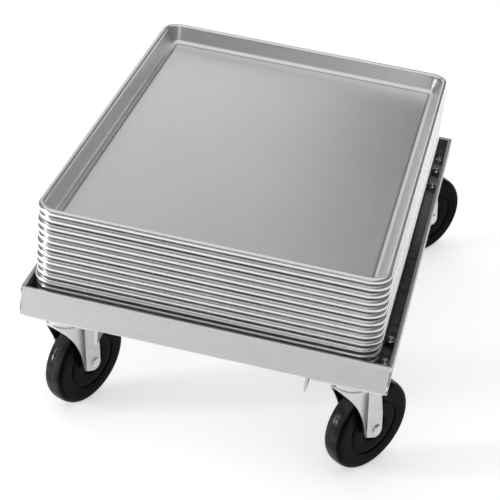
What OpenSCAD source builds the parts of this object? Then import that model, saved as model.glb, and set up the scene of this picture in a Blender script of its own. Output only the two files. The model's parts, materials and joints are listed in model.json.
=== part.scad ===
// Low wheeled dolly with a nested stack of rimmed sheet pans.
// Millimetres. Origin on the floor below the middle of the frame; +X right, +Y back, +Z up.

/* [Frame] */
// Outer width of the angle frame, left to right
frame_w = 484; // [440:1:540]
// Outer depth of the angle frame, front to back
frame_d = 684; // [640:1:740]
// Height of the upright leaf of the frame angle
leaf_h = 42; // [34:0.5:52]
// Width of the flat leaf that the pans rest on
shelf_w = 42; // [36:0.5:52]
// Thickness of the frame angle
leaf_t = 4.8; // [3:0.1:6.4]
// Rounding of the two free edges of the angle
toe_r = 1.6; // [0.5:0.1:2.4]
// Fillet in the root of the angle
root_r = 1.1; // [0.5:0.1:1.2]
// How far a corner weld stands proud of the faces
weld_proud = 0.8; // [0.4:0.1:1.5]

/* [Cross members] */
// Distance from the middle to the hanging leaf of a cross member
member_x = 137; // [110:1:145]
// Thickness of the cross member angle
member_t = 3.2; // [2:0.1:4]
// Width of the flat leaf of the cross member
member_leaf = 32; // [26:1:34]
// How far the hanging leaf reaches below the frame
member_drop = 23; // [12:0.5:24]
// Setback of the cross member ends from the frame's faces
member_back = 2; // [0.5:0.5:10]

/* [Casters] */
// Floor to underside of the frame
caster_h = 165; // [160:0.5:175]
// Distance of the swivel axes from the middle, left and right
caster_x = 191.4; // [190:0.1:191.5]
// Distance of the swivel axes from the middle, front and back
caster_y = 306; // [303:0.5:306]
// Length of the caster plate, left to right
plate_l = 95; // [92:1:96]
// Width of the caster plate, front to back
plate_w = 66; // [62:1:68]
// Thickness of the caster plate
plate_t = 4; // [3:0.1:4.2]
// Bolt spacing along the plate's length
hole_x = 76; // [74:0.5:76]
// Bolt spacing across the plate's width
hole_y = 44.5; // [42:0.5:46]
// How far the wheel trails behind the swivel axis
trail = 47; // [44:0.5:49]
// Rest heading of the front left caster
turn_fl = -24; // [-180:1:180]
// Rest heading of the front right caster
turn_fr = -36; // [-180:1:180]
// Rest heading of the back left caster
turn_bl = -31; // [-180:1:180]
// Rest heading of the back right caster
turn_br = -40; // [-180:1:180]

/* [Wheels] */
// Wheel radius
wheel_r = 66.5; // [63:0.5:67]
// Wheel width at the tread
wheel_w = 29; // [26:0.5:29.5]
// Rounding of the tread's shoulders
shoulder_r = 6; // [3:0.5:9]
// Radius of the ring groove in each side
groove_r = 39.5; // [30:0.5:46]
// Radius of the hub recess in each side
recess_r = 20; // [16:0.5:26]

/* [Sheet pans] */
// Number of pans in the stack (one module per pan below)
pan_count = 13; // [13:1:13]
// Pan width over the rims, left to right
pan_w = 457.2; // [450:0.1:460]
// Pan depth over the rims, front to back
pan_d = 660.4; // [650:0.1:664]
// Pan height
pan_h = 26.4; // [24:0.1:30]
// Sheet thickness
sheet_t = 1; // [0.8:0.1:1.4]
// Radius of the rolled rim
bead_r = 4.8; // [4:0.1:4.9]
// Lean of the walls from upright, in degrees
wall_lean = 24; // [18:1:28]
// Fillet between floor and wall
foot_r = 8; // [4:0.5:9]
// Plan radius of the rim's corners
corner_r = 28; // [26:0.5:34]
// Rise from one pan to the next
pan_pitch = 10.1; // [9.9:0.05:12]
// Stack offset to the right
stack_x = -5; // [-6:0.5:5]
// Stack offset to the back
stack_y = 1.5; // [-3:0.5:3]

/* [Hidden] */
$fn = 64;
eps = 0.01;
air = 0.3;

shelf_z = caster_h + leaf_t;
hx = hole_x / 2;
hy = hole_y / 2;
bolt_r = 4;
bolt_hole_r = 4.2;
nut_r = 7.5;
nut_h = 6.5;
head_h = 3.4;
head_r = 7.2;
dome_r = (head_r * head_r + head_h * head_h) / (2 * head_h);
screw_r = 3;
screw_head_r = 6.2;
thin_nut_h = 2.6;
shelf_bolt_y = 229;

plate_bottom = caster_h - plate_t;
crown_r = 24;
crown_t = 3;
crown_top = caster_h - 11.5;
crown_bottom = crown_top - crown_t;
skirt_h = 4.5;
ball_r = 2.4;
ball_ring_r = 17.7;
ball_count = 16;
race_bottom = crown_top + 2 * ball_r + air;
king_r = 6;
fork_half = 18;
fork_front = 21.5;
fork_t = 2.4;
fork_inner = fork_half - fork_t;
axle_r = 4.75;
axle_z = wheel_r;
sleeve_r = 8;
washer_h = 1;
axle_head_h = 4;
fit = 0.05;

bend_c = cos(wall_lean);
bend_s = sin(wall_lean);
rim_x = corner_r - bead_r;
rim_z = pan_h - bead_r;
wall_in = bead_r - 0.15;
wall_top = [rim_x - wall_in * bend_c, rim_z + wall_in * bend_s];
wall_run = (wall_top[1] - sheet_t - foot_r + foot_r * bend_s) / bend_c;
foot = [wall_top[0] - bend_s * wall_run - foot_r * bend_c, sheet_t + foot_r];

module angle_profile() {
    square([leaf_t, leaf_h - toe_r]);
    square([leaf_t - toe_r, leaf_h]);
    translate([leaf_t - toe_r, leaf_h - toe_r]) circle(r = toe_r);
    square([shelf_w - toe_r, leaf_t]);
    square([shelf_w, leaf_t - toe_r]);
    translate([shelf_w - toe_r, leaf_t - toe_r]) circle(r = toe_r);
    difference() {
        square([leaf_t + root_r, leaf_t + root_r]);
        translate([leaf_t + root_r, leaf_t + root_r]) circle(r = root_r);
    }
}

// A frame angle along X, outer face at y = 0, inside towards +Y.
module angle_bar(length) {
    translate([-length / 2, 0, 0]) rotate([90, 0, 90]) linear_extrude(length) angle_profile();
}

module corner_positions() {
    for (sx = [-1, 1], sy = [-1, 1]) translate([sx * caster_x, sy * caster_y, 0]) children();
}

module end_rail() {
    mitre = [[-frame_w / 2, 0], [frame_w / 2, 0], [frame_w / 2 - leaf_t, leaf_t],
        [frame_w / 2 - leaf_t, shelf_w + 1], [leaf_t - frame_w / 2, shelf_w + 1],
        [leaf_t - frame_w / 2, leaf_t]];
    difference() {
        translate([0, -frame_d / 2, caster_h]) intersection() {
            angle_bar(frame_w);
            translate([0, 0, -1]) linear_extrude(leaf_h + 2) polygon(mitre);
        }
        for (sx = [-1, 1], kx = [-hx, hx])
            translate([sx * caster_x + kx, -caster_y - hy, caster_h - 1]) cylinder(h = leaf_t + 2, r = bolt_hole_r);
    }
}

module side_rail() {
    mitre = [[-frame_d / 2, 0], [frame_d / 2, 0], [frame_d / 2 - leaf_t, leaf_t],
        [frame_d / 2 - shelf_w, leaf_t], [frame_d / 2 - shelf_w, shelf_w + 1],
        [shelf_w - frame_d / 2, shelf_w + 1], [shelf_w - frame_d / 2, leaf_t],
        [leaf_t - frame_d / 2, leaf_t]];
    difference() {
        translate([frame_w / 2, 0, caster_h]) rotate(90) intersection() {
            angle_bar(frame_d);
            translate([0, 0, -1]) linear_extrude(leaf_h + 2) polygon(mitre);
        }
        for (y = [-caster_y + hy, -shelf_bolt_y, shelf_bolt_y, caster_y - hy])
            translate([caster_x + hx, y, caster_h - 1]) cylinder(h = leaf_t + 2, r = bolt_hole_r);
    }
}

module member() {
    flat_d = frame_d - 2 * shelf_w;
    hang_d = frame_d - 2 * member_back;
    difference() {
        union() {
            translate([member_x, -flat_d / 2, caster_h]) cube([member_leaf, flat_d, member_t]);
            translate([member_x, -hang_d / 2, caster_h - member_drop]) cube([member_t, hang_d, member_drop]);
            translate([member_x, -flat_d / 2, caster_h - 1]) cube([member_t, flat_d, member_t + 1]);
        }
        for (sy = [-1, 1]) translate([caster_x - hx, sy * (caster_y - hy), 0]) {
            translate([0, 0, caster_h - 1]) cylinder(h = member_t + 2, r = screw_r + 0.2);
            translate([0, 0, caster_h]) cylinder(h = member_t + eps, r1 = screw_r + 0.2, r2 = screw_head_r + 0.2);
        }
    }
}

module corner_weld() {
    difference() {
        translate([frame_w / 2 - 1, frame_d / 2 - 1, caster_h + 1]) cylinder(h = leaf_h - 3, r = 1 + weld_proud);
        translate([0, 0, caster_h]) cube([frame_w, frame_d, 2 * leaf_h], center = true);
    }
}

// Round-headed bolt, its head below.
module round_bolt(top, bottom) {
    intersection() {
        translate([0, 0, bottom - head_h + dome_r]) sphere(r = dome_r);
        translate([0, 0, bottom - head_h]) cylinder(h = head_h, r = head_r + 1);
    }
    translate([0, 0, bottom]) cylinder(h = top - bottom, r = bolt_r);
}

module hex_nut(bottom) {
    translate([0, 0, bottom]) difference() {
        cylinder(h = nut_h, r = nut_r, $fn = 6);
        translate([0, 0, -1]) cylinder(h = nut_h + 2, r = bolt_r + 0.02);
    }
}

// The three plate holes of each corner that take a hex bolt.
module outer_holes() {
    for (sx = [-1, 1], sy = [-1, 1]) translate([sx * caster_x, sy * caster_y, 0]) {
        translate([sx * hx, sy * hy, 0]) rotate(30) children();
        translate([-sx * hx, sy * hy, 0]) rotate(30) children();
        translate([sx * hx, -sy * hy, 0]) rotate(30) children();
    }
}

module inner_holes() {
    for (sx = [-1, 1], sy = [-1, 1])
        translate([sx * (caster_x - hx), sy * (caster_y - hy), 0]) children();
}

module shelf_holes() {
    for (sx = [-1, 1], sy = [-1, 1])
        translate([sx * (caster_x + hx), sy * shelf_bolt_y, 0]) rotate(30) children();
}

module countersunk() {
    translate([0, 0, plate_bottom - 3.6]) cylinder(h = plate_t + 3.6 + eps, r = screw_r);
    translate([0, 0, caster_h]) cylinder(h = member_t, r1 = screw_r, r2 = screw_head_r);
}

module at_caster(sx, sy, turn) {
    translate([sx * caster_x, sy * caster_y, 0]) rotate(turn) children();
}

// Caster plate with its pressed upper race.
module caster_plate(sx, sy) {
    pr = 5;
    translate([sx * caster_x, sy * caster_y, 0]) difference() {
        union() {
            translate([-plate_l / 2, pr - plate_w / 2, plate_bottom]) cube([plate_l, plate_w - 2 * pr, plate_t]);
            translate([pr - plate_l / 2, -plate_w / 2, plate_bottom]) cube([plate_l - 2 * pr, plate_w, plate_t]);
            for (x = [-1, 1], y = [-1, 1])
                translate([x * (plate_l / 2 - pr), y * (plate_w / 2 - pr), plate_bottom]) cylinder(h = plate_t, r = pr);
            translate([0, 0, race_bottom]) cylinder(h = plate_bottom - race_bottom + 1, r = 21.4);
        }
        translate([0, 0, race_bottom - 1]) cylinder(h = plate_bottom - race_bottom + 1, r = 14);
        translate([0, 0, race_bottom - 1]) cylinder(h = 20, r = king_r + 0.02);
        for (x = [-1, 1], y = [-1, 1]) translate([x * hx, y * hy, plate_bottom - 1])
            cylinder(h = plate_t + 2, r = (x == -sx && y == -sy) ? screw_r + 0.2 : bolt_hole_r);
    }
}

// Headed rivet that the fork turns on.
module kingpin(sx, sy) {
    translate([sx * caster_x, sy * caster_y, 0]) {
        translate([0, 0, crown_bottom - air - 4]) cylinder(h = caster_h - crown_bottom + air + 4, r = king_r);
        translate([0, 0, crown_bottom - air - 4]) cylinder(h = 4, r = 11);
        translate([0, 0, crown_bottom - air - 5.5]) cylinder(h = 1.6, r1 = 8.5, r2 = 11);
    }
}

module ball_ring(sx, sy, turn) {
    at_caster(sx, sy, turn)
        for (i = [0 : ball_count - 1]) rotate(i * 360 / ball_count)
            translate([ball_ring_r, 0, crown_top + ball_r]) sphere(r = ball_r, $fn = 32);
}

// Round front, then legs that step in to the flat strips beside the wheel.
module fork_plan(grow) {
    f = fork_front + grow;
    h = fork_half + grow;
    circle(r = f);
    polygon([[-f, 0], [f, 0], [f, 18], [h, 26], [h, 66], [-h, 66], [-h, 26], [-f, 18]]);
}

// Side view of the fork, trail to the right.
fork_side = [[-20.5, crown_bottom + 1], [-20.5, 145], [-14, 137], [-8, 129], [-2, 120], [3.5, 111],
    [8.5, 102], [13.5, 91], [18, 78], [21.5, 68.5], [24, 63.5], [27.5, 60.5],
    [46, 54], [52, 54.5], [56, 58], [57.5, 64], [53.2, 90], [47.5, 111],
    [43.5, 125], [39, 137], [34, 146], [30, crown_bottom + 1]];

module fork(sx, sy, turn) {
    at_caster(sx, sy, turn) difference() {
        union() {
            intersection() {
                difference() {
                    linear_extrude(crown_top) fork_plan(0);
                    translate([0, 0, -1]) linear_extrude(crown_top + 2) fork_plan(-fork_t);
                }
                rotate([90, 0, 90]) translate([0, 0, -40]) linear_extrude(80) polygon(fork_side);
            }
            translate([0, 0, crown_bottom]) cylinder(h = crown_t, r = crown_r);
            translate([0, 0, crown_top - 1]) difference() {
                cylinder(h = plate_bottom - 1.5 - crown_top + 1, r = crown_r);
                cylinder(h = 12, r = crown_r - 2);
            }
            translate([0, 0, crown_top - skirt_h]) difference() {
                cylinder(h = skirt_h, r = crown_r);
                translate([0, 0, -1]) cylinder(h = skirt_h - crown_t + 1, r = crown_r - 2);
            }
        }
        translate([0, 0, crown_bottom - 1]) cylinder(h = crown_t + 2, r = king_r + fit);
        translate([-40, trail, axle_z]) rotate([0, 90, 0]) cylinder(h = 80, r = axle_r + fit);
    }
}

module axle(sx, sy, turn) {
    at_caster(sx, sy, turn) translate([0, trail, axle_z]) rotate([0, 90, 0]) {
        translate([0, 0, fork_half]) cylinder(h = washer_h, r = 8.4);
        translate([0, 0, fork_half + washer_h]) rotate(12) cylinder(h = axle_head_h, r = 7.6, $fn = 6);
        translate([0, 0, -fork_half - 9]) cylinder(h = 2 * fork_half + 9.5, r = axle_r);
    }
}

module axle_nut(sx, sy, turn) {
    at_caster(sx, sy, turn) translate([0, trail, axle_z]) rotate([0, -90, 0])
        translate([0, 0, fork_half]) difference() {
            union() {
                cylinder(h = washer_h, r = 8.4);
                cylinder(h = washer_h + 5, r = 7.6, $fn = 6);
            }
            translate([0, 0, -1]) cylinder(h = 10, r = axle_r + 0.02);
        }
}

module sleeve(sx, sy, turn) {
    at_caster(sx, sy, turn) translate([0, trail, axle_z]) rotate([0, 90, 0]) difference() {
        cylinder(h = 2 * fork_inner - 0.4, r = sleeve_r, center = true);
        cylinder(h = 2 * fork_inner + 2, r = axle_r + fit, center = true);
    }
}

// Half section of the wheel: x is the radius, y the distance along the axle.
module wheel_section() {
    half = wheel_w / 2;
    flat = half - shoulder_r;
    difference() {
        union() {
            translate([sleeve_r + fit, -half]) square([wheel_r - shoulder_r - sleeve_r - fit, wheel_w]);
            translate([sleeve_r + fit, -flat]) square([wheel_r - sleeve_r - fit, 2 * flat]);
            for (s = [-1, 1]) translate([wheel_r - shoulder_r, s * flat]) circle(r = shoulder_r);
        }
        for (s = [-1, 1]) {
            translate([groove_r, s * half]) circle(r = 1.5);
            translate([0, s > 0 ? half - 3 : -half - 1]) square([recess_r, 4]);
        }
    }
    translate([sleeve_r + fit, -fork_inner + 0.6]) square([5, 2 * fork_inner - 1.2]);
}

module wheel(sx, sy, turn) {
    at_caster(sx, sy, turn) translate([0, trail, axle_z]) rotate([0, 90, 0])
        rotate_extrude($fn = 96) wheel_section();
}

// Inside of a pan corner, moved outwards by o: x is the radius from the corner's axis.
module dish(o, top) {
    reach = (top - foot[1]) / bend_c;
    side = [foot[0] + (foot_r + o) * bend_c, foot[1] - (foot_r + o) * bend_s];
    polygon([[0, sheet_t - o], [foot[0], sheet_t - o], foot, side,
        [side[0] + reach * bend_s, side[1] + reach * bend_c], [0, side[1] + reach * bend_c]]);
    translate(foot) circle(r = foot_r + o);
}

// The rolled rim is a hollow bead, left open in a narrow slot underneath.
module pan_section() {
    difference() {
        intersection() {
            dish(sheet_t, rim_z + 6);
            square([corner_r, wall_top[1] + 0.3]);
        }
        dish(0, rim_z + 10);
        translate([rim_x, rim_z]) circle(r = bead_r - sheet_t);
    }
    difference() {
        translate([rim_x, rim_z]) circle(r = bead_r);
        translate([rim_x, rim_z]) circle(r = bead_r - sheet_t);
        translate([rim_x + 0.4, rim_z - bead_r - 1]) square([1.6, bead_r]);
    }
}

module pan_shape() {
    lx = pan_w - 2 * corner_r;
    ly = pan_d - 2 * corner_r;
    translate([-lx / 2, -ly / 2, 0]) cube([lx, ly, sheet_t]);
    for (q = [0 : 3]) {
        along = (q % 2 == 0) ? ly : lx;
        across = (q % 2 == 0) ? lx : ly;
        rotate(q * 90) {
            translate([across / 2, along / 2, 0]) rotate([90, 0, 0]) linear_extrude(along) pan_section();
            translate([across / 2, along / 2, 0]) rotate_extrude(angle = 90) pan_section();
        }
    }
}

// Pan number k of the stack, counted from 0 at the bottom; each sits a little off its neighbour.
module pan(k) {
    translate([stack_x - 0.25 * k + 0.7 * sin(140 * k), stack_y + 0.8 * cos(97 * k),
        shelf_z + air + k * pan_pitch]) pan_shape();
}

module front_rail() color([0.76, 0.76, 0.77]) end_rail();
module rear_rail() color([0.76, 0.76, 0.77]) rotate(180) end_rail();
module right_rail() color([0.76, 0.76, 0.77]) side_rail();
module left_rail() color([0.76, 0.76, 0.77]) rotate(180) side_rail();
module right_member() color([0.74, 0.74, 0.75]) member();
module left_member() color([0.74, 0.74, 0.75]) rotate(180) member();
module corner_welds() color([0.7, 0.7, 0.7])
    for (mx = [0, 1], my = [0, 1]) mirror([mx, 0, 0]) mirror([0, my, 0]) corner_weld();

module plate_bolts() color([0.66, 0.67, 0.68]) outer_holes() round_bolt(shelf_z + nut_h + 3, plate_bottom);
module plate_nuts() color([0.7, 0.71, 0.72]) outer_holes() hex_nut(shelf_z);
module plate_screws() color([0.66, 0.67, 0.68]) inner_holes() countersunk();
module screw_nuts() color([0.7, 0.71, 0.72]) inner_holes() translate([0, 0, plate_bottom - thin_nut_h]) difference() {
    cylinder(h = thin_nut_h, r = 5.2, $fn = 6);
    translate([0, 0, -1]) cylinder(h = thin_nut_h + 2, r = screw_r + 0.02);
}
module shelf_bolts() color([0.66, 0.67, 0.68]) shelf_holes() round_bolt(shelf_z + nut_h + 3, caster_h);
module shelf_nuts() color([0.7, 0.71, 0.72]) shelf_holes() hex_nut(shelf_z);

module fl_plate() color([0.62, 0.63, 0.64]) caster_plate(-1, -1);
module fr_plate() color([0.62, 0.63, 0.64]) caster_plate(1, -1);
module bl_plate() color([0.62, 0.63, 0.64]) caster_plate(-1, 1);
module br_plate() color([0.62, 0.63, 0.64]) caster_plate(1, 1);

module fl_kingpin() color([0.6, 0.6, 0.61]) kingpin(-1, -1);
module fr_kingpin() color([0.6, 0.6, 0.61]) kingpin(1, -1);
module bl_kingpin() color([0.6, 0.6, 0.61]) kingpin(-1, 1);
module br_kingpin() color([0.6, 0.6, 0.61]) kingpin(1, 1);

module fl_balls() color([0.75, 0.75, 0.76]) ball_ring(-1, -1, turn_fl);
module fr_balls() color([0.75, 0.75, 0.76]) ball_ring(1, -1, turn_fr);
module bl_balls() color([0.75, 0.75, 0.76]) ball_ring(-1, 1, turn_bl);
module br_balls() color([0.75, 0.75, 0.76]) ball_ring(1, 1, turn_br);

module fl_fork() color([0.64, 0.65, 0.66]) fork(-1, -1, turn_fl);
module fr_fork() color([0.64, 0.65, 0.66]) fork(1, -1, turn_fr);
module bl_fork() color([0.64, 0.65, 0.66]) fork(-1, 1, turn_bl);
module br_fork() color([0.64, 0.65, 0.66]) fork(1, 1, turn_br);

module fl_axle() color([0.7, 0.7, 0.71]) axle(-1, -1, turn_fl);
module fr_axle() color([0.7, 0.7, 0.71]) axle(1, -1, turn_fr);
module bl_axle() color([0.7, 0.7, 0.71]) axle(-1, 1, turn_bl);
module br_axle() color([0.7, 0.7, 0.71]) axle(1, 1, turn_br);

module fl_axle_nut() color([0.7, 0.7, 0.71]) axle_nut(-1, -1, turn_fl);
module fr_axle_nut() color([0.7, 0.7, 0.71]) axle_nut(1, -1, turn_fr);
module bl_axle_nut() color([0.7, 0.7, 0.71]) axle_nut(-1, 1, turn_bl);
module br_axle_nut() color([0.7, 0.7, 0.71]) axle_nut(1, 1, turn_br);

module fl_sleeve() color([0.55, 0.55, 0.56]) sleeve(-1, -1, turn_fl);
module fr_sleeve() color([0.55, 0.55, 0.56]) sleeve(1, -1, turn_fr);
module bl_sleeve() color([0.55, 0.55, 0.56]) sleeve(-1, 1, turn_bl);
module br_sleeve() color([0.55, 0.55, 0.56]) sleeve(1, 1, turn_br);

module fl_wheel() color([0.03, 0.03, 0.03]) wheel(-1, -1, turn_fl);
module fr_wheel() color([0.03, 0.03, 0.03]) wheel(1, -1, turn_fr);
module bl_wheel() color([0.03, 0.03, 0.03]) wheel(-1, 1, turn_bl);
module br_wheel() color([0.03, 0.03, 0.03]) wheel(1, 1, turn_br);

module pan_01() color([0.72, 0.73, 0.74]) pan(0);
module pan_02() color([0.72, 0.73, 0.74]) pan(1);
module pan_03() color([0.72, 0.73, 0.74]) pan(2);
module pan_04() color([0.72, 0.73, 0.74]) pan(3);
module pan_05() color([0.72, 0.73, 0.74]) pan(4);
module pan_06() color([0.72, 0.73, 0.74]) pan(5);
module pan_07() color([0.72, 0.73, 0.74]) pan(6);
module pan_08() color([0.72, 0.73, 0.74]) pan(7);
module pan_09() color([0.72, 0.73, 0.74]) pan(8);
module pan_10() color([0.72, 0.73, 0.74]) pan(9);
module pan_11() color([0.72, 0.73, 0.74]) pan(10);
module pan_12() color([0.72, 0.73, 0.74]) pan(11);
module pan_13() color([0.72, 0.73, 0.74]) pan(12);

front_rail();
rear_rail();
left_rail();
right_rail();
left_member();
right_member();
corner_welds();
plate_bolts();
plate_nuts();
plate_screws();
screw_nuts();
shelf_bolts();
shelf_nuts();
fl_plate();
fr_plate();
bl_plate();
br_plate();
fl_kingpin();
fr_kingpin();
bl_kingpin();
br_kingpin();
fl_balls();
fr_balls();
bl_balls();
br_balls();
fl_fork();
fr_fork();
bl_fork();
br_fork();
fl_axle();
fr_axle();
bl_axle();
br_axle();
fl_axle_nut();
fr_axle_nut();
bl_axle_nut();
br_axle_nut();
fl_sleeve();
fr_sleeve();
bl_sleeve();
br_sleeve();
fl_wheel();
fr_wheel();
bl_wheel();
br_wheel();
pan_01();
pan_02();
pan_03();
pan_04();
pan_05();
pan_06();
pan_07();
pan_08();
pan_09();
pan_10();
pan_11();
pan_12();
pan_13();
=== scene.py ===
import json
import math
import bpy
from mathutils import Matrix, Vector, noise


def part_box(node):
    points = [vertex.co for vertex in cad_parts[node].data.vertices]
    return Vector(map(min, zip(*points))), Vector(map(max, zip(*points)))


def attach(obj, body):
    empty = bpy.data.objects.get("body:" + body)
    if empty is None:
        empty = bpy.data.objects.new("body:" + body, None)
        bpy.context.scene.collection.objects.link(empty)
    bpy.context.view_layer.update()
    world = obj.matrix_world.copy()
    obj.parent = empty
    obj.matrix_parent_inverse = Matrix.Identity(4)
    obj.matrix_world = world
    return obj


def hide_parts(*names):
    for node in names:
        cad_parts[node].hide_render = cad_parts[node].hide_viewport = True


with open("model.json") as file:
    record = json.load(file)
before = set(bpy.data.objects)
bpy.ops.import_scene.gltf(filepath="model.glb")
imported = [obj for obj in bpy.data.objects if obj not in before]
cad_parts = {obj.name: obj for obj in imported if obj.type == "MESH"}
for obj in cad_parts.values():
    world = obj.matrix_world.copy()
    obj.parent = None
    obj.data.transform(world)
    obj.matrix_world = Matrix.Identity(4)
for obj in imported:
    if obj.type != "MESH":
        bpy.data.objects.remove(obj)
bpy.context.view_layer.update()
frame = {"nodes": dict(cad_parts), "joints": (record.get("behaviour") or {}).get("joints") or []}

MM = 0.001
CORNERS = ("fl", "fr", "bl", "br")
PANS = [n for n in sorted(frame["nodes"]) if n.startswith("pan_")]


# ---------------------------------------------------------------- meshes

def new_object(name, verts, faces, material, marks=None, place=None):
    """Object with its vertices in metres; marks are float attributes, one value per vertex."""
    mesh = bpy.data.meshes.new(name)
    mesh.from_pydata(verts, [], faces)
    if place:
        mesh.transform(place)
    mesh.validate()
    mesh.update()
    for key, values in (marks or {}).items():
        mesh.attributes.new(key, "FLOAT", "POINT").data.foreach_set("value", values)
    mesh.polygons.foreach_set("use_smooth", [True] * len(mesh.polygons))
    mesh.materials.append(material)
    obj = bpy.data.objects.new(name, mesh)
    bpy.context.scene.collection.objects.link(obj)
    return obj


def stand_in(obj, node, body):
    """Makes a piece stand for a CAD node, which it hides, and ride on a body."""
    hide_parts(node)
    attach(obj, body)


def modify(obj, name, kind, **settings):
    """Adds a modifier with these settings."""
    modifier = obj.modifiers.new(name, kind)
    for key, value in settings.items():
        setattr(modifier, key, value)


def soften(obj, width, segments):
    """Small round on the sharp edges of a piece."""
    modify(obj, "edge", "BEVEL", width=width, segments=segments, limit_method="ANGLE",
           angle_limit=math.radians(50))


class Shape:
    """Collects several parts of one mesh."""

    def __init__(self):
        self.verts, self.faces = [], []

    def add(self, verts, faces, place=None):
        base = len(self.verts)
        self.verts += [tuple(place @ Vector(v)) if place else tuple(v) for v in verts]
        self.faces += [tuple(i + base for i in f) for f in faces]

    def build(self, name, material, marks=None, place=None):
        return new_object(name, self.verts, self.faces, material, marks, place)


def grid_faces(rows, cols, wrap):
    """Quads between rows of cols points; wrap joins the last column to the first."""
    out = []
    for r in range(rows - 1):
        for c in range(cols if wrap else cols - 1):
            d = (c + 1) % cols
            out.append((r * cols + c, r * cols + d, (r + 1) * cols + d, (r + 1) * cols + c))
    return out


def end_caps(rows, cols):
    """Faces that close the first and the last row."""
    return [tuple(reversed(range(cols))), tuple((rows - 1) * cols + c for c in range(cols))]


def ring_joint(rows, cols):
    """Quads from the last row back to the first."""
    last = (rows - 1) * cols
    return [(last + c, last + (c + 1) % cols, (c + 1) % cols, c) for c in range(cols)]


def polar(radius, angle, height):
    return radius * math.cos(angle), radius * math.sin(angle), height


def lathe(profile, segments, closed=False):
    """Turns (radius, height) points about Z. A closed profile makes a ring."""
    verts = [polar(radius, 2 * math.pi * s / segments, height)
             for radius, height in profile for s in range(segments)]
    rows = len(profile)
    ends = ring_joint if closed else end_caps
    return verts, grid_faces(rows, segments, True) + ends(rows, segments)


def rounded(points, radius, steps=4):
    """Rounds the inner corners of an open (u, v) line."""
    out = [points[0]]
    for before, at, after in zip(points, points[1:], points[2:]):
        p, a, b = Vector(at), Vector(before), Vector(after)
        da, db = (a - p), (b - p)
        reach = min(radius, da.length * 0.45, db.length * 0.45)
        start, end = p + da.normalized() * reach, p + db.normalized() * reach
        for i in range(steps + 1):
            t = i / steps
            q = start * (1 - t) ** 2 + p * 2 * t * (1 - t) + end * t ** 2
            out.append((q.x, q.y))
    out.append(points[-1])
    return out


def in_metres(points):
    return [(u * MM, v * MM) for u, v in points]


def smoothstep(t):
    t = min(max(t, 0), 1)
    return t * t * (3 - 2 * t)


# ---------------------------------------------------------------- materials

SPREAD = (0.3, 0.7)                     # most of a noise's values lie in this range
EDGE_COSINES = (0.995, 0.86)            # softened against true normal: flat, sharp edge
# Inner faces of the rails' upright leaves, and half the width over which the painted shade there
# stops
LEAF_IN_X, LEAF_IN_Y, LEAF_FADE = 0.2372, 0.3372, 0.0004
# Painted shade on the frame's inner shelf: the heights and depths over which it fades
SHADE_Z = (0.174, 0.192)                # full at the first height, gone at the second
SHADE_Y = (0.0, 0.22)                   # full at the first depth, gone at the second


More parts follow.
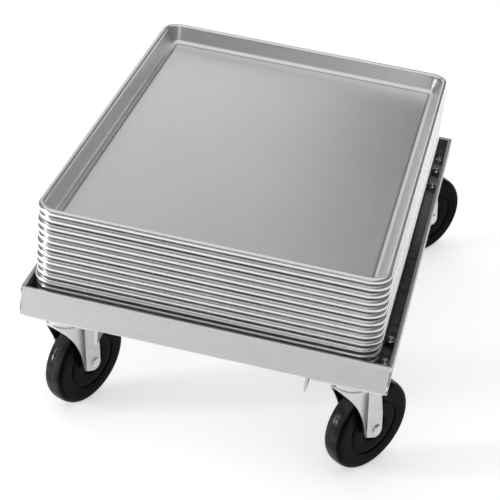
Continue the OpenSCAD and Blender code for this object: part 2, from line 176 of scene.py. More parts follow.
class Nodes:
    """Short way to write a material's node tree."""

    def __init__(self, name):
        self.material = bpy.data.materials.new(name)
        self.material.use_nodes = True
        self.tree = self.material.node_tree
        self.tree.nodes.clear()
        out = self.tree.nodes.new("ShaderNodeOutputMaterial")
        self.shader = self.tree.nodes.new("ShaderNodeBsdfPrincipled")
        self.tree.links.new(self.shader.outputs[0], out.inputs[0])
        self.coords = self.add("ShaderNodeTexCoord").outputs["Object"]

    def add(self, kind, links=None, settings=None, **values):
        node = self.tree.nodes.new(kind)
        for key, value in (settings or {}).items():
            setattr(node, key, value)
        for key, value in values.items():
            node.inputs[key.replace("_", " ")].default_value = value
        for key, socket in (links or {}).items():
            self.tree.links.new(socket, node.inputs[key])
        return node

    def stretched(self, scale):
        """Object coordinates times one number, or times one for each axis."""
        scale = scale if isinstance(scale, tuple) else (scale, scale, scale)
        return self.add("ShaderNodeMapping", {"Vector": self.coords}, Scale=scale).outputs[0]

    def noise(self, scale, detail=3.0, rough=0.55):
        return self.add("ShaderNodeTexNoise", {"Vector": self.stretched(scale)}, Scale=1.0,
                        Detail=detail, Roughness=rough).outputs["Fac"]

    def cells(self, scale, output):
        """Irregular cells: the Distance from each one's point, or a Color for each."""
        return self.add("ShaderNodeTexVoronoi", {"Vector": self.stretched(scale)},
                        Scale=1.0).outputs[output]

    def specks(self, scale, outer, inner):
        """1 within the inner distance of each cell's point, 0 beyond the outer one."""
        return self.span(self.cells(scale, "Distance"), outer, inner, 0, 1)

    def span(self, socket, low, high, out_low, out_high):
        """Maps low to out_low and high to out_high, and holds those values beyond."""
        return self.add("ShaderNodeMapRange", {"Value": socket}, From_Min=low, From_Max=high,
                        To_Min=out_low, To_Max=out_high).outputs[0]

    def math(self, operation, a, b):
        node = self.tree.nodes.new("ShaderNodeMath")
        node.operation = operation
        for i, value in enumerate((a, b)):
            if isinstance(value, (int, float)):
                node.inputs[i].default_value = value
            else:
                self.tree.links.new(value, node.inputs[i])
        return node.outputs[0]

    def times(self, a, b):
        return self.math("MULTIPLY", a, b)

    def mix(self, factor, a, b):
        """Mixes two greys or colours."""
        node = self.tree.nodes.new("ShaderNodeMix")
        node.data_type = "RGBA"
        for index, value in ((0, factor), (6, a), (7, b)):
            if isinstance(value, (int, float)) and index:
                node.inputs[index].default_value = (value, value, value, 1)
            elif isinstance(value, (int, float, tuple)):
                node.inputs[index].default_value = value
            else:
                self.tree.links.new(value, node.inputs[index])
        return node.outputs[2]

    def channel(self):
        """1 on the frame's inner shelf and the foot of its upright leaves, where a painted shade
        darkens the colour, fading out towards the back."""
        split = self.add("ShaderNodeSeparateXYZ", {"Vector": self.coords}).outputs
        inside = self.times(
            self.span(self.math("ABSOLUTE", split["X"], 0), LEAF_IN_X - LEAF_FADE,
                      LEAF_IN_X + LEAF_FADE, 1, 0),
            self.span(self.math("ABSOLUTE", split["Y"], 0), LEAF_IN_Y - LEAF_FADE,
                      LEAF_IN_Y + LEAF_FADE, 1, 0))
        worn = self.times(self.span(split["Z"], *SHADE_Z, 1, 0),
                          self.span(split["Y"], *SHADE_Y, 1, 0))
        return self.times(inside, worn)

    def mark(self, name):
        return self.add("ShaderNodeAttribute", settings={"attribute_name": name}).outputs["Fac"]

    def bump(self, height, distance, strength, normal=None):
        links = {"Height": height}
        if normal is not None:
            links["Normal"] = normal
        return self.add("ShaderNodeBump", links, Strength=strength, Distance=distance).outputs[0]

    def edges(self, radius):
        """1 on sharp edges, 0 on flat faces."""
        soft = self.add("ShaderNodeBevel", settings={"samples": 4}, Radius=radius).outputs[0]
        hard = self.add("ShaderNodeNewGeometry").outputs["Normal"]
        dot = self.tree.nodes.new("ShaderNodeVectorMath")
        dot.operation = "DOT_PRODUCT"
        self.tree.links.new(soft, dot.inputs[0])
        self.tree.links.new(hard, dot.inputs[1])
        return self.span(dot.outputs["Value"], *EDGE_COSINES, 0, 1)

    def set(self, **sockets):
        for key, value in sockets.items():
            socket = self.shader.inputs[key.replace("_", " ")]
            if isinstance(value, (int, float, tuple)):
                socket.default_value = value
            else:
                self.tree.links.new(value, socket)
        return self.material


def grain(n, along, fine, long):
    """Noise drawn out along one axis, like rolling or brushing marks."""
    return n.noise(tuple(long if axis == along else fine for axis in "XYZ"), 4.0, 0.6)


def pan_material():
    n = Nodes("pan_aluminium_brushed")
    dull, clean, bright, spot, rim_shade = 0.72, 0.75, 0.82, 0.40, 0.24
    lines = grain(n, "Y", 1700, 16)
    broad = n.noise((7, 5, 7))
    haze = n.noise((34, 30, 34), 5.0, 0.62)
    rough = n.math("ADD", n.span(lines, *SPREAD, 0.29, 0.37), n.span(haze, 0.35, 0.7, -0.01, 0.02))
    rough = n.math("SUBTRACT", rough, n.times(n.mark("rim"), 0.08))
    colour = n.mix(n.span(broad, *SPREAD, 0, 1), dull, clean)
    colour = n.mix(n.span(lines, 0.25, 0.75, 0, 0.35), colour, bright)
    colour = n.mix(n.times(n.specks(210, 0.06, 0.02), 0.35), colour, spot)
    # Painted shade under each rolled rim, where the next pan's bead sits below it
    colour = n.mix(n.times(n.mark("shade_mark"), n.span(haze, 0.3, 0.6, 0.7, 1.0)), colour, rim_shade)
    normal = n.bump(lines, 0.02 * MM, 0.35)
    normal = n.bump(broad, 0.5 * MM, 0.02, normal)
    return n.set(Base_Color=colour, Metallic=1.0, Roughness=rough, Normal=normal)


def frame_material(name, along):
    n = Nodes(name)
    dull, clean, patch, spot, worn, painted_shade = 0.47, 0.51, 0.42, 0.34, 0.93, 0.09
    lines = grain(n, along, 1100, 9)
    wide = grain(n, along, 260, 3)
    mottle = n.noise(70, 6.0, 0.68)
    edge = n.edges(1.4 * MM)
    rough = n.math("ADD", n.span(lines, *SPREAD, 0.36, 0.48), n.span(mottle, 0.35, 0.7, -0.04, 0.07))
    rough = n.math("SUBTRACT", rough, n.times(edge, 0.14))
    colour = n.mix(n.span(wide, *SPREAD, 0, 1), dull, clean)
    colour = n.mix(n.span(mottle, 0.56, 0.74, 0, 0.5), colour, patch)
    colour = n.mix(n.times(n.specks(130, 0.10, 0.04), 0.6), colour, spot)
    colour = n.mix(n.times(edge, 0.75), colour, worn)
    # Painted shade: the inner shelf and the foot of the upright leaves turned near black
    colour = n.mix(n.times(n.channel(), n.span(mottle, 0.35, 0.6, 0.75, 0.95)), colour, painted_shade)
    normal = n.bump(lines, 0.03 * MM, 0.6)
    normal = n.bump(mottle, 0.12 * MM, 0.5, normal)
    return n.set(Base_Color=colour, Metallic=1.0, Roughness=rough, Normal=normal)


def weld_material():
    n = Nodes("weld_metal")
    bare, sooty = 0.72, 0.16
    grit = n.noise(600, 5.0, 0.7)
    soot = n.noise((160, 160, 220), 4.0, 0.6)
    return n.set(Base_Color=n.mix(n.span(soot, 0.40, 0.56, 0, 1), bare, sooty), Metallic=1.0,
                 Roughness=n.span(grit, *SPREAD, 0.34, 0.58), Normal=n.bump(grit, 0.15 * MM, 0.8))


def zinc_material(name, light, dark, low, high):
    """Zinc plating between two greys, its roughness from low to high."""
    n = Nodes(name)
    worn, painted_shade = 0.90, 0.02
    cloud = n.noise(95, 5.0, 0.6)
    fine = n.noise((1300, 1300, 240), 4.0, 0.6)
    colour = n.mix(n.span(cloud, 0.32, 0.68, 0, 1), light, dark)
    colour = n.mix(0.03, colour, n.cells(160, "Color"))
    colour = n.mix(n.times(n.edges(0.9 * MM), 0.45), colour, worn)
    # Painted shade: near black in the fork's fold and on the washers round the axle
    colour = n.mix(n.times(n.mark("shade_mark"), n.span(cloud, *SPREAD, 0.88, 1.0)), colour, painted_shade)
    rough = n.math("ADD", n.span(fine, *SPREAD, low, high), n.span(cloud, 0.4, 0.7, -0.02, 0.05))
    normal = n.bump(fine, 0.02 * MM, 0.5)
    normal = n.bump(cloud, 0.1 * MM, 0.2, normal)
    return n.set(Base_Color=colour, Metallic=1.0, Roughness=rough, Normal=normal)


def rubber_material():
    n = Nodes("black_rubber_moulded")
    black, faded, tread_highlight, dust = 0.0006, 0.002, 0.035, 0.12
    pebble = n.noise(900, 4.0, 0.6)
    cloud = n.noise(60, 5.0, 0.62)
    tread = n.mark("tread")
    colour = n.mix(n.span(cloud, 0.35, 0.7, 0, 1), black, faded)
    # Painted highlight: the tread a lighter grey than the hub faces, in patches
    colour = n.mix(n.times(tread, n.span(cloud, 0.40, 0.6, 0.35, 0.8)), colour, tread_highlight)
    colour = n.mix(n.times(n.specks(190, 0.12, 0.05), 0.5), colour, dust)
    rough = n.math("ADD", n.span(pebble, *SPREAD, 0.30, 0.40), n.span(cloud, 0.4, 0.7, -0.04, 0.08))
    rough = n.math("SUBTRACT", rough, n.times(tread, 0.22))
    normal = n.bump(n.times(pebble, n.span(tread, 0, 1, 1.0, 0.25)), 0.06 * MM, 0.6)
    return n.set(Base_Color=colour, Metallic=0.0, Roughness=rough, Normal=normal,
                 Specular_IOR_Level=0.035)


def floor_material():
    n = Nodes("pale_floor")
    return n.set(Base_Color=n.mix(n.span(n.noise(3), *SPREAD, 0, 1), 0.90, 0.92), Roughness=0.75,
                 Emission_Color=(1.0, 1.0, 1.0, 1.0), Emission_Strength=0.50)


PAN_METAL = pan_material()
RAIL_X = frame_material("frame_aluminium_along_x", "X")
RAIL_Y = frame_material("frame_aluminium_along_y", "Y")
WELD = weld_material()
FORK_ZINC = zinc_material("zinc_pressed", 0.62, 0.56, 0.27, 0.36)
BOLT_ZINC = zinc_material("zinc_bright", 0.74, 0.60, 0.18, 0.28)
RUBBER = rubber_material()
FLOOR = floor_material()


# ---------------------------------------------------------------- pans

PAN_CORNER = 28 * MM
BEAD = 4.8 * MM                         # radius of the rolled rim
SHEET = 1.0 * MM                        # thickness
LEAN = math.radians(24)                 # of the wall
FOOT = 8 * MM                           # radius of the bend between floor and wall
CURL_END = math.radians(212)            # where the rolled rim stops
ARC_STEPS = 10                          # round a corner
LONG_STEPS = (18, 26)                   # along a short and a long side
# Unevenness in millimetres: the rim sideways and upwards, the floor
SIDE_WAVE, TOP_WAVE, FLOOR_WAVE = 0.25, 0.12, 0.12
SEED_STEP = 1.37                        # makes each pan's unevenness its own


def pan_profile(height):
    """(u, z, mark) from the floor's top face over the rim to its underside."""
    c, s = math.cos(LEAN), math.sin(LEAN)
    rim = Vector((PAN_CORNER - BEAD, height - BEAD))
    top_in = rim + BEAD * Vector((-c, s))
    run = (top_in.y - SHEET - FOOT + FOOT * s) / c
    foot = Vector((top_in.x - s * run - FOOT * c, SHEET + FOOT))

    def arc(centre, radius, start, end, steps, mark):
        return [(centre.x + radius * math.cos(a), centre.y + radius * math.sin(a), mark)
                for a in (start + (end - start) * i / steps for i in range(steps + 1))]

    def between(a, b, shares):
        return [(a[0] + (b[0] - a[0]) * t, a[1] + (b[1] - a[1]) * t, 0.0) for t in shares]

    down, lean = -math.pi / 2, -LEAN
    curl_start, curl_end = math.pi - LEAN, CURL_END - 2 * math.pi
    inner = arc(foot, FOOT, down, lean, 6, 0.0)
    wall = between(inner[-1], top_in, (0.25, 0.5, 0.75))
    outside = arc(rim, BEAD, curl_start, curl_end, 24, 1.0)
    inside = arc(rim, BEAD - SHEET, curl_end, curl_start, 14, 0.0)
    outer = arc(foot, FOOT + SHEET, lean, down, 6, 0.0)
    back = between(inside[-1], outer[0], (0.33, 0.67))
    return inner + wall + outside + inside + back + outer


def ring(half_x, half_y, u):
    """Points of a rounded rectangle whose corner centres are at half_x, half_y."""
    out = []
    centres = ((half_x, half_y), (-half_x, half_y), (-half_x, -half_y), (half_x, -half_y))
    for q, (x, y) in enumerate(centres):
        for i in range(ARC_STEPS + 1):
            a = math.pi / 2 * (q + i / ARC_STEPS)
            out.append((x + u * math.cos(a), y + u * math.sin(a)))
        end_x, end_y = centres[(q + 1) % 4]
        a = math.pi / 2 * (q + 1)
        steps = LONG_STEPS[q % 2]
        for i in range(1, steps):
            t = i / steps
            out.append((x + (end_x - x) * t + u * math.cos(a),
                        y + (end_y - y) * t + u * math.sin(a)))
    return out


def floor_faces(edge, cols, base):
    """Faces of a floor grid whose points start at base, and of the strip round it, out to the
    row of cols points that starts at edge."""
    nx, ny = LONG_STEPS

    def cell(i, j):
        return base + j * (nx + 1) + i

    faces = [(cell(i, j), cell(i + 1, j), cell(i + 1, j + 1), cell(i, j + 1))
             for j in range(ny) for i in range(nx)]
    walks = (lambda t: (t, 0), lambda t: (nx, t), lambda t: (nx - t, ny), lambda t: (0, ny - t))
    at = 0
    for q, walk in enumerate(walks):
        faces += [(cell(*walk(0)), edge + at + i, edge + at + i + 1) for i in range(ARC_STEPS)]
        at += ARC_STEPS
        steps = LONG_STEPS[q % 2]
        faces += [(cell(*walk(i)), edge + at + i, edge + (at + i + 1) % cols, cell(*walk(i + 1)))
                  for i in range(steps)]
        at += steps
    return faces


def pan(node, seed):
    low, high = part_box(node)
    half_x = (high.x - low.x) / 2 - PAN_CORNER
    half_y = (high.y - low.y) / 2 - PAN_CORNER
    height = high.z - low.z
    profile = pan_profile(height)
    rows, cols = len(profile), len(ring(half_x, half_y, 0))
    verts, marks, shade_mark = [], [], []
    for u, z, mark in profile:
        free = smoothstep(z / height)
        for x, y in ring(half_x, half_y, u):
            p = Vector((x * 6 + seed * 3.7, y * 6 - seed * 1.9, z * 9))
            sideways, up = noise.noise(p), noise.noise(p + Vector((40, 0, 0)))
            flat = Vector((x, y)).normalized() * sideways * SIDE_WAVE * MM * free
            verts.append((x + flat.x, y + flat.y, min(z + up * TOP_WAVE * MM * free, height)))
            marks.append(mark * smoothstep((z / height - 0.75) / 0.2))
            # Mark of a painted shade: the outside of the bead below its middle
            shade_mark.append(mark * smoothstep((height - BEAD - 0.6 * MM - z) / (2.6 * MM)))
    faces = grid_faces(rows, cols, True)
    nx, ny = LONG_STEPS
    for edge_row, z, under in ((0, SHEET, False), (rows - 1, 0.0, True)):
        base = len(verts)
        for j in range(ny + 1):
            for i in range(nx + 1):
                x, y = half_x * (1 - 2 * i / nx), half_y * (1 - 2 * j / ny)
                sag = (1 - (x / half_x) ** 2) * (1 - (y / half_y) ** 2)
                dip = (noise.noise(Vector((x * 3 + seed, y * 3, 3))) * FLOOR_WAVE * MM) * sag
                verts.append((x, y, z + dip * (0.6 if under else 1)))
                marks.append(0.0)
                shade_mark.append(0.0)
        added = floor_faces(edge_row * cols, cols, base)
        faces += [tuple(reversed(f)) for f in added] if under else added
    obj = new_object("sheet_" + node, verts, faces, PAN_METAL, {"rim": marks, "shade_mark": shade_mark})
    obj.location = ((high.x + low.x) / 2, (high.y + low.y) / 2, low.z)
    stand_in(obj, node, node + "_body")


for count, node in enumerate(PANS):
    pan(node, count * SEED_STEP)


# ---------------------------------------------------------------- fasteners

HEAD_H = 3.4 * MM
HEAD_R = 7.2 * MM
HEX_R = 7.5 * MM                        # of a nut, to its corners
NUT_H = 6.5 * MM
BOLT_R = 4 * MM
PITCH = 1.25 * MM
SCREW_NUT = (5.2 * MM, 2.6 * MM, 3.02 * MM)     # radius, height, bore
HEX_SEGMENTS = 48
CORNER_CUT = 0.93                       # a hexagon's corners are cut from this share of its flats
CORNER_FALL = 0.55                      # drop of that cut for its reach outwards
ISLAND_CELL = 20 * MM                   # points are sorted into cells of this size
ISLAND_REACH = 18 * MM                  # cells whose points are nearer than this are one fastener


def hexagon(radius, angle):
    """Distance to a hexagon's side, its corners at radius."""
    half = math.pi / 6
    return radius * math.cos(half) / math.cos((angle + half) % (math.pi / 3) - half)


def hex_rows(radius, rows, level):
    """Rows of points round a hexagon; level(flat, side, drop) lists each row's size and height."""
    flat = radius * math.cos(math.pi / 6)
    verts = []
    for row in range(rows):
        for s in range(HEX_SEGMENTS):
            a = 2 * math.pi * s / HEX_SEGMENTS
            side = hexagon(radius, a)
            drop = max(0, side - flat * CORNER_CUT) * CORNER_FALL
            size, z = level(flat, side, drop)[row]
            verts.append(polar(size, a, z))
    return verts, grid_faces(rows, HEX_SEGMENTS, True)


def hex_head(radius, height):
    """Hex head that stands on z = 0, its top corners cut by a cone, with a shallow dish on top."""
    verts, faces = hex_rows(radius, 7, lambda flat, side, drop: (
        (flat * 0.9, 0), (side - 0.25 * MM, 0), (side, 0.25 * MM), (side, height - drop),
        (flat * CORNER_CUT, height), (flat * 0.62, height - 0.05 * MM),
        (flat * 0.5, height - 0.35 * MM)))
    return verts, faces + end_caps(7, HEX_SEGMENTS)


def hex_ring(radius, height, bore):
    """Hex nut standing on z = 0, chamfered at both ends, with a countersunk bore."""
    sink = 0.5 * MM
    verts, faces = hex_rows(radius, 8, lambda flat, side, drop: (
        (bore, sink), (bore + sink, 0), (flat * CORNER_CUT, 0), (side, drop),
        (side, height - drop), (flat * CORNER_CUT, height), (bore + sink, height),
        (bore, height - sink)))
    return verts, faces + ring_joint(8, HEX_SEGMENTS)


def thread(radius, start, end, segments=24, rows_per_turn=6):
    """Threaded rod from start to end, with a chamfered far end."""
    depth = PITCH * 0.5
    rows = max(3, int((end - start) / PITCH * rows_per_turn))
    verts = []
    for r in range(rows + 1):
        z = start + (end - start) * r / rows
        for s in range(segments):
            turn = (z / PITCH - s / segments) % 1
            size = radius - depth * abs(2 * turn - 1)
            size = min(size, radius - depth + (end - z))
            verts.append(polar(size, 2 * math.pi * s / segments, z))
    return verts, grid_faces(rows + 1, segments, True) + end_caps(rows + 1, segments)


def round_head(radius, height, steps=9):
    """Low domed head on its seat at z = 0."""
    ball = (radius ** 2 + height ** 2) / (2 * height)
    sweep = math.asin(radius / ball)
    dome = [(ball * math.sin(sweep * i / steps), height - ball + ball * math.cos(sweep * i / steps))
            for i in range(steps, 0, -1)]
    return lathe([(radius * 0.97, 0.0)] + dome + [(0.02 * MM, height)], 40)


def islands(node):
    """Centre x, y of each separate fastener of a CAD node, with its lowest and highest z."""
    spots = {}
    for v in frame["nodes"][node].data.vertices:
        key = (round(v.co.x / ISLAND_CELL), round(v.co.y / ISLAND_CELL))
        spots.setdefault(key, []).append(v.co)
    groups = []
    for points in spots.values():
        first = Vector(points[0][:2])
        for group in groups:
            if any((first - Vector(q[:2])).length < ISLAND_REACH for q in group):
                group += points
                break
        else:
            groups.append(list(points))
    out = []
    for group in groups:
        xs, ys, zs = zip(*group)
        out.append(((min(xs) + max(xs)) / 2, (min(ys) + max(ys)) / 2, min(zs), max(zs)))
    return sorted(out)


def placed(x, y, z, angle=0.0, flip=False):
    spin = Matrix.Rotation(angle, 4, "Z")
    turn = Matrix.Rotation(math.pi, 4, "X") if flip else Matrix.Identity(4)
    return Matrix.Translation((x, y, z)) @ spin @ turn


def finish_fastener(shape, name, node, body="frame", shaded_count=0):
    """Finished fastener; its first vertices, as many as the count given, get the mark of a painted
    shade.
    """
    shade_mark = [1.0 if i < shaded_count else 0.0 for i in range(len(shape.verts))]
    obj = shape.build(name, BOLT_ZINC, {"shade_mark": shade_mark})
    modify(obj, "edges", "EDGE_SPLIT", split_angle=math.radians(32))
    stand_in(obj, node, body)


def bolts(node):
    shape = Shape()
    for i, (x, y, low, high) in enumerate(islands(node)):
        spin = math.radians(30 + 17 * i)
        shape.add(*round_head(HEAD_R, HEAD_H), placed(x, y, low + HEAD_H, spin, True))
        shape.add(*thread(BOLT_R, low + HEAD_H, high), placed(x, y, 0, spin))
    finish_fastener(shape, node + "_cut", node)


def nuts(node, radius, height, bore):
    shape = Shape()
    for i, (x, y, low, _) in enumerate(islands(node)):
        shape.add(*hex_ring(radius, height, bore), placed(x, y, low, math.radians(11 + 23 * i)))
    finish_fastener(shape, node + "_cut", node)


bolts("plate_bolts")
bolts("shelf_bolts")
nuts("plate_nuts", HEX_R, NUT_H, BOLT_R)
nuts("shelf_nuts", HEX_R, NUT_H, BOLT_R)
nuts("screw_nuts", *SCREW_NUT)


# ---------------------------------------------------------------- casters
# In millimetres, except TRAIL and FORK_T. A caster's own axes are X along the axle, Y along the
# trail and Z up, from the floor under its kingpin.

TRAIL = 47 * MM
FORK_T = 2.4 * MM
WHEEL_R = 66.5
FORK_FRONT_R = 21.5                     # bend round the front, half as wide as the fork there
FORK_HALF = 18.0                        # half the fork's width at the axle
FORK_STEP = FORK_FRONT_R - FORK_HALF
FORK_BEND = FORK_FRONT_R * math.pi / 2  # length of the bend on one side
FOLD_RUN = 13                           # the step inwards takes this length, up to the fold
FOLD_Y, FOLD_Z, FOLD_LEAN = 28.5, 66, 0.16      # place of the fold, and its lean forwards
FLARE, FLARE_Z, FLARE_RUN = 2.0, 147, 3.5       # the top turns outwards from FLARE_Z up
TOE_Y, TOE_Z, TOE_SLOPE = 27.5, 60.5, 2.85      # below TOE_Z the front edge runs back
LEG_COLUMNS, FRONT_COLUMNS = 46, 34     # across a leg, and before its fold
AXLE_HEX_R = 7.6
NUT_BORE = 4.8
THREAD_OUT = 9                          # how far the axle's thread goes past the leg

# Side view of a leg as (z, y), from the top down
FORK_FRONT = ((150.5, -21.5), (145.5, -21.5), (137, -14), (129, -8), (120, -2), (111, 3.5),
              (102, 8.5), (91, 13.5), (78, 18), (68.5, 21.5), (63.5, 24), (TOE_Z, TOE_Y))
FORK_REAR = ((150.5, 31), (146, 34), (137, 39), (125, 43.5), (111, 47.5), (90, 53.2),
             (64, 57.5), (58, 56), (54.5, 52), (54, 46.4))
LEG_HEIGHTS = (150.5, 149.5, 148.5, 147, 145.5, 143.5, 141, 139, 137, 134, 131.5, 129, 124.5,
               120, 115.5, 111, 106.5, 102, 96.5, 91, 84.5, 78, 73, 68.5, 65.5, 63.5, 62, 60.5,
               59, 57.5, 56, 54.8, 54)
# (radius, z) of the pressed cap on top of the legs, which holds the balls
CROWN = ((6.1, 150.5), (6.1, 153.4), (21.0, 153.4), (22.0, 154.6), (22.0, 159.4), (24.0, 159.4),
         (24.0, 150.6), (23.6, 149.0), (21.2, 149.0), (20.4, 150.5), (6.6, 150.5))
# (radius, axial) of half the wheel, from the bore over the hub and the web to the tread
WHEEL_HALF = ((8.05, 15.0), (12.8, 15.0), (13.4, 11.7), (19.4, 11.7), (20.6, 14.2), (37.0, 14.5),
              (38.0, 12.7), (41.0, 12.7), (42.0, 14.4), (57.5, 14.5), (61.0, 14.0), (63.9, 11.9),
              (65.5, 8.8), (66.3, 5.0), (WHEEL_R, 1.3), (66.1, 0.6))


def swivel(corner):
    """Where a caster's own axes are."""
    turn, spin = (next(j for j in frame["joints"] if j["name"] == corner + name)
                  for name in ("_swivel_turn", "_wheel_spin"))
    x, y, _ = turn["pos_m"]
    axle = spin["axis"]
    return Matrix.Translation((x, y, 0)) @ Matrix.Rotation(math.atan2(axle[1], axle[0]), 4, "Z")


def along(curve, z):
    """Y of a side-view line at height z."""
    for (z0, y0), (z1, y1) in zip(curve, curve[1:]):
        if z1 <= z <= z0:
            return y0 + (y1 - y0) * (z0 - z) / (z0 - z1)
    return curve[-1][1] if z < curve[-1][0] else curve[0][1]


def fork_plan(run, fold):
    """Point and outward normal of the fork's outline, run millimetres round from its front."""
    if run < FORK_BEND:
        a = run / FORK_FRONT_R
        return ((FORK_FRONT_R * math.sin(a), -FORK_FRONT_R * math.cos(a)),
                (math.sin(a), -math.cos(a)))
    y = run - FORK_BEND
    t = min(max((y - fold) / FOLD_RUN + 1, 0), 1)
    slope = -2 * FORK_STEP * t / FOLD_RUN if t < 1 else 0.0
    length = math.hypot(1, slope)
    return (FORK_FRONT_R - FORK_STEP * t * t, y), (1 / length, -slope / length)


def fork_fold_shade(before, z):
    """Painted shade beside the fold, by the distance before it, gone again under the crown."""
    beside = smoothstep(before / 1.2) * (1 - smoothstep((before - 4) / 16))
    return beside * smoothstep((149 - z) / 12)


def fork_leg(side):
    """One leg as a sheet: rows from the crown down, columns from the front to the rear."""
    verts, shade_mark = [], []
    for z in LEG_HEIGHTS:
        front, rear = along(FORK_FRONT, z), along(FORK_REAR, z)
        if z < TOE_Z:
            front = TOE_Y + (TOE_Z - z) * TOE_SLOPE
        first = FORK_BEND + front
        if front < 0:
            first = FORK_FRONT_R * math.acos(min(1, -front / FORK_FRONT_R))
        last = FORK_BEND + rear
        flare = FLARE * max(0, (z - FLARE_Z) / FLARE_RUN) ** 2
        fold = FOLD_Y - FOLD_LEAN * (z - FOLD_Z)
        crease = min(max(FORK_BEND + fold, first), last)
        for c in range(LEG_COLUMNS + 1):
            if c <= FRONT_COLUMNS:
                run = first + (crease - first) * c / FRONT_COLUMNS
            else:
                run = crease + (last - crease) * (c - FRONT_COLUMNS) / (LEG_COLUMNS - FRONT_COLUMNS)
            (x, y), (nx, ny) = fork_plan(run, fold)
            # Painted shade along the fold
            shade_mark.append(fork_fold_shade(fold - y, z))
            verts.append((side * (x + nx * flare) * MM, (y + ny * flare) * MM, z * MM))
    faces = grid_faces(len(LEG_HEIGHTS), LEG_COLUMNS + 1, False)
    if side < 0:
        faces = [tuple(reversed(f)) for f in faces]
    return verts, faces, shade_mark


def fork(corner):
    """Both legs, joined at the front, and the crown."""
    place = swivel(corner)
    legs = Shape()
    # Mark of the painted shade beside each leg's fold
    shade_mark = []
    for side in (1, -1):
        verts, faces, fold_shade = fork_leg(side)
        legs.add(verts, faces)
        shade_mark += fold_shade
    obj = legs.build(corner + "_fork_legs", FORK_ZINC, {"shade_mark": shade_mark}, place)
    modify(obj, "join", "WELD", merge_threshold=0.02 * MM)
    modify(obj, "sheet", "SOLIDIFY", thickness=FORK_T, offset=-1)
    soften(obj, 0.7 * MM, 3)
    stand_in(obj, corner + "_fork", corner + "_swivel")

    verts, faces = lathe(in_metres(rounded(CROWN, 1.0)), 96, closed=True)
    crown = new_object(corner + "_fork_crown", verts, faces, FORK_ZINC, None, place)
    stand_in(crown, corner + "_fork", corner + "_swivel")


def axle_parts(corner):
    """Axle with its hex head on the right and a thread on the left, and the nut on it."""
    base = swivel(corner) @ Matrix.Translation((0, TRAIL, WHEEL_R * MM))
    right = base @ Matrix.Rotation(math.pi / 2, 4, "Y")
    left = base @ Matrix.Rotation(-math.pi / 2, 4, "Y")
    seat = FORK_HALF + 1.0
    on_seat = Matrix.Translation((0, 0, seat * MM))
    washer = rounded([(NUT_BORE, FORK_HALF), (8.4, FORK_HALF), (8.4, seat), (NUT_BORE, seat)], 0.4)
    washer = lathe(in_metres(washer), 48, closed=True)
    # The washers get the painted shade, a dark ring round the axle's head and nut
    shaded_count = len(washer[0])
    shape = Shape()
    shape.add(*washer, right)
    shape.add(*hex_head(AXLE_HEX_R * MM, 4 * MM), right @ on_seat @ Matrix.Rotation(0.2, 4, "Z"))
    shape.add(*thread(4.7 * MM, FORK_HALF * MM, (FORK_HALF + THREAD_OUT) * MM), left)
    shape.add(*lathe(in_metres([(4.75, -20), (4.75, 20)]), 32), right)
    finish_fastener(shape, corner + "_axle_cut", corner + "_axle", corner + "_swivel", shaded_count)
    shape = Shape()
    shape.add(*washer, left)
    nut = hex_ring(AXLE_HEX_R * MM, 5 * MM, NUT_BORE * MM)
    shape.add(*nut, left @ on_seat @ Matrix.Rotation(0.9, 4, "Z"))
    finish_fastener(shape, corner + "_axle_nut_cut", corner + "_axle_nut", corner + "_swivel", shaded_count)


def wheel(corner):
    """Moulded wheel, its profile from one hub face round to the other."""
    line = list(WHEEL_HALF) + [(r, -z) for r, z in reversed(WHEEL_HALF)]
    profile = rounded(line, 1.3, 3) + [line[-1]]
    verts, faces = lathe(in_metres(profile), 144, closed=True)
    marks = [smoothstep((math.hypot(x, y) / MM - 63.5) / 2.0) for x, y, z in verts]
    axle = Matrix.Translation((0, TRAIL, WHEEL_R * MM)) @ Matrix.Rotation(math.pi / 2, 4, "Y")
    obj = new_object(corner + "_wheel_moulded", verts, faces, RUBBER, {"tread": marks},
                     swivel(corner) @ axle)
    stand_in(obj, corner + "_wheel", corner + "_roller")


for corner in CORNERS:
    fork(corner)
    axle_parts(corner)
    wheel(corner)


# ---------------------------------------------------------------- welds and frame

# Weld beads up the frame's corners
SEAM_INSET = 1.1 * MM                   # from the frame's corner to a bead's middle
SEAM_ROWS, SEAM_COLS = 90, 14
SEAM_HALF_ANGLE = 118
SEAM_R, SEAM_RIPPLE, SEAM_GRIT = 1.30, 0.32, 0.12       # millimetres
RIPPLES = 11.5


def weld_bead(sx, sy, x, y, z0, z1):
    """Rippled bead up one corner of the frame, with both ends closed."""
    outward = math.atan2(sy, sx)
    verts = []
    for r in range(SEAM_ROWS + 1):
        t = r / SEAM_ROWS
        for c in range(SEAM_COLS + 1):
            a = outward + math.radians(-SEAM_HALF_ANGLE + 2 * SEAM_HALF_ANGLE * c / SEAM_COLS)
            away = abs(a - outward)
            waver = 0.3 * noise.noise(Vector((t * 9, sx, sy)))
            phase = (t * RIPPLES + away * 0.35 + waver) % 1
            ripple = SEAM_RIPPLE * (1 - (2 * phase - 1) ** 2)
            grit = SEAM_GRIT * noise.noise(Vector((t * 30, c, sx)))
            size = (SEAM_R + ripple * math.cos(min(away, 1.5)) + grit) * MM
            size *= 0.45 + 0.55 * smoothstep(min(t, 1 - t) / 0.03)
            verts.append((x + size * math.cos(a), y + size * math.sin(a), z0 + (z1 - z0) * t))
    cols = SEAM_COLS + 1
    faces = grid_faces(SEAM_ROWS + 1, cols, False) + end_caps(SEAM_ROWS + 1, cols)
    faces += [(r * cols + SEAM_COLS, r * cols, (r + 1) * cols, (r + 1) * cols + SEAM_COLS)
              for r in range(SEAM_ROWS)]
    return verts, faces


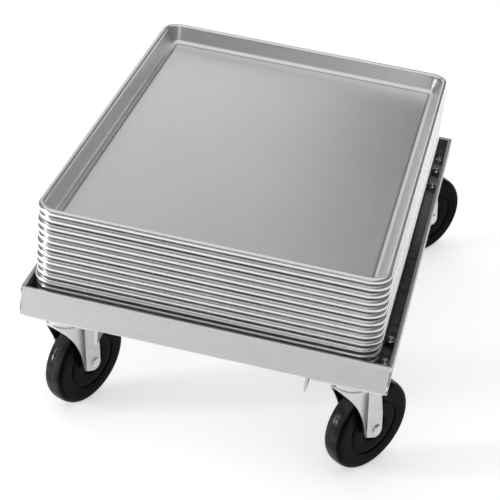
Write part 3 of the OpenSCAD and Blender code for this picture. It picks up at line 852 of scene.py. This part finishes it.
def weld_seams():
    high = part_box("rear_rail")[1]
    low_end, high_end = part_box("corner_welds")
    shape = Shape()
    for sx in (-1, 1):
        for sy in (-1, 1):
            shape.add(*weld_bead(sx, sy, sx * (high.x - SEAM_INSET), sy * (high.y - SEAM_INSET),
                                 low_end.z, high_end.z))
    stand_in(shape.build("corner_weld_beads", WELD), "corner_welds", "frame")


def dress(node, material, width):
    """Keeps a CAD node, with a finished material and a small round on its edges."""
    obj = frame["nodes"][node]
    obj.data.materials.clear()
    obj.data.materials.append(material)
    modify(obj, "join", "WELD", merge_threshold=0.01 * MM)
    soften(obj, width, 2)
    modify(obj, "split", "EDGE_SPLIT", split_angle=math.radians(34))


weld_seams()
for node in ("front_rail", "rear_rail"):
    dress(node, RAIL_X, 0.3 * MM)
for node in ("left_rail", "right_rail", "left_member", "right_member"):
    dress(node, RAIL_Y, 0.3 * MM)
dress("plate_screws", BOLT_ZINC, 0.2 * MM)
for corner in CORNERS:
    dress(corner + "_plate", FORK_ZINC, 0.35 * MM)
    dress(corner + "_kingpin", BOLT_ZINC, 0.3 * MM)
    dress(corner + "_balls", BOLT_ZINC, 0.02 * MM)
    dress(corner + "_sleeve", FORK_ZINC, 0.2 * MM)


# ---------------------------------------------------------------- stage, lights and camera

FLOOR_HALF = 40
MIDDLE = (0, 0, 0.25)
# name, position, target, size, radiance
LIGHTS = (
    ("overhead", (-0.5, 0.0, 3.0), (-0.5, 0.0, 0), (5.2, 5.2), 0.70),
    ("left_strip", (-2.04, -1.22, 0.40), (0, -0.4, 0.2), (0.20, 0.90), 52.0),
    ("left_box", (-1.98, -1.22, 0.12), (0, -0.35, 0.1), (0.20, 0.20), 230.0),
    ("back_left", (-2.0, 4.0, 1.9), MIDDLE, (3.6, 2.0), 0.70),
    ("back_right", (1.8, 4.0, 0.50), MIDDLE, (1.5, 0.9), 1.35),
    ("front", (0.65, -3.3, 1.95), MIDDLE, (1.6, 0.9), 1.05),
)
WORLD_STRENGTH = 0.20
# Camera fitted to the photograph; DOWN is down in the picture
RIGHT = Vector((0.96997, 0.21317, 0.11709))
DOWN = Vector((0.20742, -0.47369, -0.85592))
FORWARD = Vector((-0.12700, 0.85450, -0.50368))
POSITION = Vector((0.29958, -2.05329, 1.33964))
LENS = 118.31


def panel(name, position, target, size, radiance):
    """Soft rectangular light; radiance is how bright it looks in a mirror, whatever its size."""
    data = bpy.data.lights.new(name, "AREA")
    data.shape = "RECTANGLE"
    data.size, data.size_y = size
    data.energy = radiance * size[0] * size[1] * math.pi
    obj = bpy.data.objects.new(name, data)
    bpy.context.scene.collection.objects.link(obj)
    obj.location = position
    obj.rotation_euler = (Vector(target) - Vector(position)).to_track_quat("-Z", "Y").to_euler()


floor_corners = [(x * FLOOR_HALF, y * FLOOR_HALF, 0)
                 for x, y in ((-1, -1), (1, -1), (1, 1), (-1, 1))]
new_object("floor", floor_corners, [(0, 1, 2, 3)], FLOOR)

for light in LIGHTS:
    panel(*light)

world = bpy.data.worlds.new("studio")
bpy.context.scene.world = world
world.use_nodes = True
background = world.node_tree.nodes["Background"].inputs
background["Color"].default_value = (1, 1, 1, 1)
background["Strength"].default_value = WORLD_STRENGTH

camera_data = bpy.data.cameras.new("camera")
camera_data.sensor_width = 36
camera_data.lens = LENS
camera = bpy.data.objects.new("camera", camera_data)
bpy.context.scene.collection.objects.link(camera)
columns = (RIGHT, -DOWN, -FORWARD, POSITION)
camera.matrix_world = Matrix([[column[i] for column in columns] for i in range(3)] + [[0, 0, 0, 1]])
bpy.context.scene.camera = camera
bpy.context.scene.view_settings.view_transform = "Standard"
